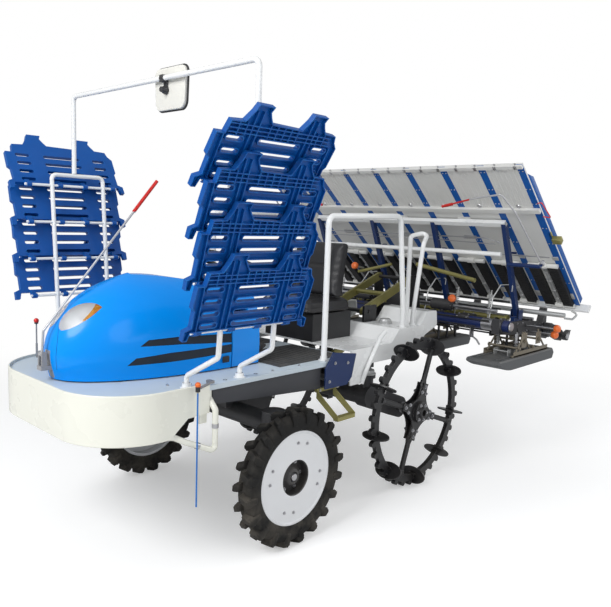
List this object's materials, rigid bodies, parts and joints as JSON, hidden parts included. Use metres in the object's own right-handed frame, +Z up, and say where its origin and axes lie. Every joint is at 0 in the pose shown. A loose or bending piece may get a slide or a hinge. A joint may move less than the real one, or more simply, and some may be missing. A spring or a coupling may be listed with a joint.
{
  "type": "rice transplanter",
  "caption": "Riding rice transplanter with a rounded bonnet, folding side racks, cage rear wheels and a raised planting unit under a sloping sliding seedling table.",
  "frame": {"origin": "on the ground under the middle of the machine's bounding box", "axes": "+X forward, +Y to the machine's left, +Z up"},
  "size_m": [3.44, 2.12, 2.165],
  "materials": {
    "black_paint": "satin",
    "iron_grey": "as cast, painted",
    "tyre_black": "moulded",
    "disc_white": "satin",
    "cream": "gloss",
    "deck_grey": "satin",
    "hood_blue": "gloss",
    "lamp_lens": "clear",
    "seat_black": "satin",
    "white_paint": "gloss",
    "navy_paint": "satin",
    "zinc_olive": "yellow zinc",
    "mirror_white": "gloss",
    "steel": "satin",
    "float_grey": "satin",
    "table_grey": "satin",
    "divider_blue": "satin",
    "belt_black": "ribbed",
    "tray_blue": "satin"
  },
  "bodies": {
    "chassis": {"main_frame": "black_paint", "engine_block": "iron_grey", "transmission_case": "iron_grey", "front_axle_case": "iron_grey", "rear_axle_case": "iron_grey", "front_bumper": "cream", "floor_deck": "deck_grey", "dash_console": "black_paint", "seat_base": "seat_black", "seat_cushion": "seat_black", "seat_back": "seat_black", "rear_deck": "white_paint", "side_panels": "navy_paint", "side_steps": "zinc_olive", "guard_pipes": "cream", "handrails": "white_paint", "rack_frame_left": "white_paint", "rack_frame_right": "white_paint", "mirror_bar": "white_paint", "rear_view_mirror": "mirror_white", "edge_markers": "steel"},
    "bonnet": {"hood": "hood_blue", "headlamps": "lamp_lens"},
    "centre_marker": {"centre_marker": "steel"},
    "steering_wheel": {"steering_wheel": "black_paint"},
    "knuckle_left": {"steering_knuckle_left": "iron_grey"},
    "knuckle_right": {"steering_knuckle_right": "iron_grey"},
    "front_wheel_left": {"front_tyre_left": "tyre_black", "front_wheel_disc_left": "disc_white"},
    "front_wheel_right": {"front_tyre_right": "tyre_black", "front_wheel_disc_right": "disc_white"},
    "rear_wheel_left": {"rear_wheel_left": "black_paint"},
    "rear_wheel_right": {"rear_wheel_right": "black_paint"},
    "lower_links": {"lift_lower_links": "zinc_olive"},
    "upper_links": {"lift_upper_links": "zinc_olive"},
    "cylinder_barrel": {"lift_barrel": "black_paint"},
    "cylinder_rod": {"lift_rod": "steel"},
    "planting_unit": {"planting_frame": "black_paint", "planting_cases": "iron_grey", "table_posts": "navy_paint", "table_rails": "white_paint", "floats": "float_grey"},
    "table": {"seedling_table": "table_grey", "table_dividers": "divider_blue", "table_belts": "belt_black"},
    "seedling_tray_left_1": {"seedling_tray_left_1": "tray_blue"},
    "seedling_tray_left_2": {"seedling_tray_left_2": "tray_blue"},
    "seedling_tray_left_3": {"seedling_tray_left_3": "tray_blue"},
    "seedling_tray_left_4": {"seedling_tray_left_4": "tray_blue"},
    "seedling_tray_right_1": {"seedling_tray_right_1": "tray_blue"},
    "seedling_tray_right_2": {"seedling_tray_right_2": "tray_blue"},
    "seedling_tray_right_3": {"seedling_tray_right_3": "tray_blue"},
    "seedling_tray_right_4": {"seedling_tray_right_4": "tray_blue"},
    "rotor_1": {"planting_rotor_1": "iron_grey"},
    "rotor_2": {"planting_rotor_2": "iron_grey"},
    "rotor_3": {"planting_rotor_3": "iron_grey"},
    "rotor_4": {"planting_rotor_4": "iron_grey"},
    "line_marker_left": {"line_marker_left": "steel"},
    "line_marker_right": {"line_marker_right": "steel"}
  },
  "joints": [
    {"name": "bonnet_lift", "type": "hinge", "parent": "chassis", "child": "bonnet", "pos_m": [0.896, 0, 1.172], "axis": [0, -1, 0], "range_deg": [0, 50]},
    {"name": "centre_marker_tilt", "type": "hinge", "parent": "bonnet", "child": "centre_marker", "pos_m": [1.688, 0, 0.915], "axis": [0, 1, 0], "range_deg": [0, 60]},
    {"name": "steer_left", "type": "hinge", "parent": "chassis", "child": "knuckle_left", "pos_m": [0.79, 0.47, 0.455], "axis": [0, 0, 1], "range_deg": [-35, 35]},
    {"name": "steer_right", "type": "hinge", "parent": "chassis", "child": "knuckle_right", "pos_m": [0.79, -0.47, 0.455], "axis": [0, 0, 1], "range_deg": [-35, 35]},
    {"name": "steering_wheel_turn", "type": "hinge", "parent": "chassis", "child": "steering_wheel", "pos_m": [0.668, 0, 1.262], "axis": [-0.3872, 0, 0.922], "range_deg": [-350, 350]},
    {"name": "front_wheel_spin_left", "type": "hinge", "parent": "knuckle_left", "child": "front_wheel_left", "pos_m": [0.79, 0.5975, 0.325], "axis": [0, 1, 0], "continuous": true},
    {"name": "rear_wheel_spin_left", "type": "hinge", "parent": "chassis", "child": "rear_wheel_left", "pos_m": [-0.25, 0.58, 0.433], "axis": [0, 1, 0], "continuous": true},
    {"name": "front_wheel_spin_right", "type": "hinge", "parent": "knuckle_right", "child": "front_wheel_right", "pos_m": [0.79, -0.5975, 0.325], "axis": [0, 1, 0], "continuous": true},
    {"name": "rear_wheel_spin_right", "type": "hinge", "parent": "chassis", "child": "rear_wheel_right", "pos_m": [-0.25, -0.58, 0.433], "axis": [0, 1, 0], "continuous": true},
    {"name": "tray_fold_left_1", "type": "hinge", "parent": "chassis", "child": "seedling_tray_left_1", "pos_m": [1.177, 0.67, 1.073], "axis": [-1, 0, 0], "range_deg": [0, 73]},
    {"name": "tray_fold_left_2", "type": "hinge", "parent": "chassis", "child": "seedling_tray_left_2", "pos_m": [1.177, 0.685, 1.2615], "axis": [-1, 0, 0], "range_deg": [0, 73]},
    {"name": "tray_fold_left_3", "type": "hinge", "parent": "chassis", "child": "seedling_tray_left_3", "pos_m": [1.177, 0.7, 1.45], "axis": [-1, 0, 0], "range_deg": [0, 68]},
    {"name": "tray_fold_left_4", "type": "hinge", "parent": "chassis", "child": "seedling_tray_left_4", "pos_m": [1.177, 0.715, 1.6385], "axis": [-1, 0, 0], "range_deg": [0, 58]},
    {"name": "tray_fold_right_1", "type": "hinge", "parent": "chassis", "child": "seedling_tray_right_1", "pos_m": [1.177, -0.67, 1.073], "axis": [1, 0, 0], "range_deg": [0, 73]},
    {"name": "tray_fold_right_2", "type": "hinge", "parent": "chassis", "child": "seedling_tray_right_2", "pos_m": [1.177, -0.685, 1.2615], "axis": [1, 0, 0], "range_deg": [0, 73]},
    {"name": "tray_fold_right_3", "type": "hinge", "parent": "chassis", "child": "seedling_tray_right_3", "pos_m": [1.177, -0.7, 1.45], "axis": [1, 0, 0], "range_deg": [0, 68]},
    {"name": "tray_fold_right_4", "type": "hinge", "parent": "chassis", "child": "seedling_tray_right_4", "pos_m": [1.177, -0.715, 1.6385], "axis": [1, 0, 0], "range_deg": [0, 58]},
    {"name": "lift", "type": "hinge", "parent": "chassis", "child": "lower_links", "pos_m": [-0.33, 0, 0.64], "axis": [0, -1, 0], "range_deg": [0, 51]},
    {"name": "upper_link_swing", "type": "hinge", "parent": "chassis", "child": "upper_links", "pos_m": [-0.29, 0, 0.96], "axis": [0, -1, 0], "range_deg": [0, 51]},
    {"name": "planting_unit_level", "type": "hinge", "parent": "lower_links", "child": "planting_unit", "pos_m": [-0.81864, 0, 0.81785], "axis": [0, -1, 0], "range_deg": [-51, 0]},
    {"name": "cylinder_swing", "type": "hinge", "parent": "chassis", "child": "cylinder_barrel", "pos_m": [-0.11, 0, 0.44], "axis": [0, -1, 0], "range_deg": [0, 23.69]},
    {"name": "cylinder_stroke", "type": "slide", "parent": "cylinder_barrel", "child": "cylinder_rod", "axis": [-0.849, 0, 0.5283], "range_m": [-0.091, 0]},
    {"name": "table_traverse", "type": "slide", "parent": "planting_unit", "child": "table", "axis": [0, 1, 0], "range_m": [-0.12, 0.12]},
    {"name": "rotor_spin_1", "type": "hinge", "parent": "planting_unit", "child": "rotor_1", "pos_m": [-1.56, -0.75, 0.8], "axis": [0, 1, 0], "continuous": true},
    {"name": "rotor_spin_2", "type": "hinge", "parent": "planting_unit", "child": "rotor_2", "pos_m": [-1.56, -0.25, 0.8], "axis": [0, 1, 0], "continuous": true},
    {"name": "rotor_spin_3", "type": "hinge", "parent": "planting_unit", "child": "rotor_3", "pos_m": [-1.56, 0.25, 0.8], "axis": [0, 1, 0], "continuous": true},
    {"name": "rotor_spin_4", "type": "hinge", "parent": "planting_unit", "child": "rotor_4", "pos_m": [-1.56, 0.75, 0.8], "axis": [0, 1, 0], "continuous": true},
    {"name": "line_marker_swing_left", "type": "hinge", "parent": "planting_unit", "child": "line_marker_left", "pos_m": [-0.93524, 0.96, 1.29708], "axis": [-0.6425, 0, 0.7663], "range_deg": [0, 150]},
    {"name": "line_marker_swing_right", "type": "hinge", "parent": "planting_unit", "child": "line_marker_right", "pos_m": [-0.93524, -0.96, 1.29708], "axis": [0.6425, 0, -0.7663], "range_deg": [0, 150]}
  ],
  "couplings": [
    {"joint": "steer_right", "follows": "steer_left", "ratio": 1},
    {"joint": "steering_wheel_turn", "follows": "steer_left", "ratio": 9.5},
    {"joint": "tray_fold_left_2", "follows": "tray_fold_left_1", "ratio": 1},
    {"joint": "tray_fold_left_3", "follows": "tray_fold_left_1", "ratio": 0.93151},
    {"joint": "tray_fold_left_4", "follows": "tray_fold_left_1", "ratio": 0.79452},
    {"joint": "tray_fold_right_2", "follows": "tray_fold_right_1", "ratio": 1},
    {"joint": "tray_fold_right_3", "follows": "tray_fold_right_1", "ratio": 0.93151},
    {"joint": "tray_fold_right_4", "follows": "tray_fold_right_1", "ratio": 0.79452},
    {"joint": "upper_link_swing", "follows": "lift", "ratio": 1},
    {"joint": "planting_unit_level", "follows": "lift", "ratio": -1},
    {"joint": "cylinder_swing", "follows": "lift", "ratio": 0.4605},
    {"joint": "cylinder_stroke", "follows": "lift", "m_per_rad": -0.10166},
    {"joint": "rotor_spin_2", "follows": "rotor_spin_1", "ratio": 1},
    {"joint": "rotor_spin_3", "follows": "rotor_spin_1", "ratio": 1},
    {"joint": "rotor_spin_4", "follows": "rotor_spin_1", "ratio": 1}
  ]
}
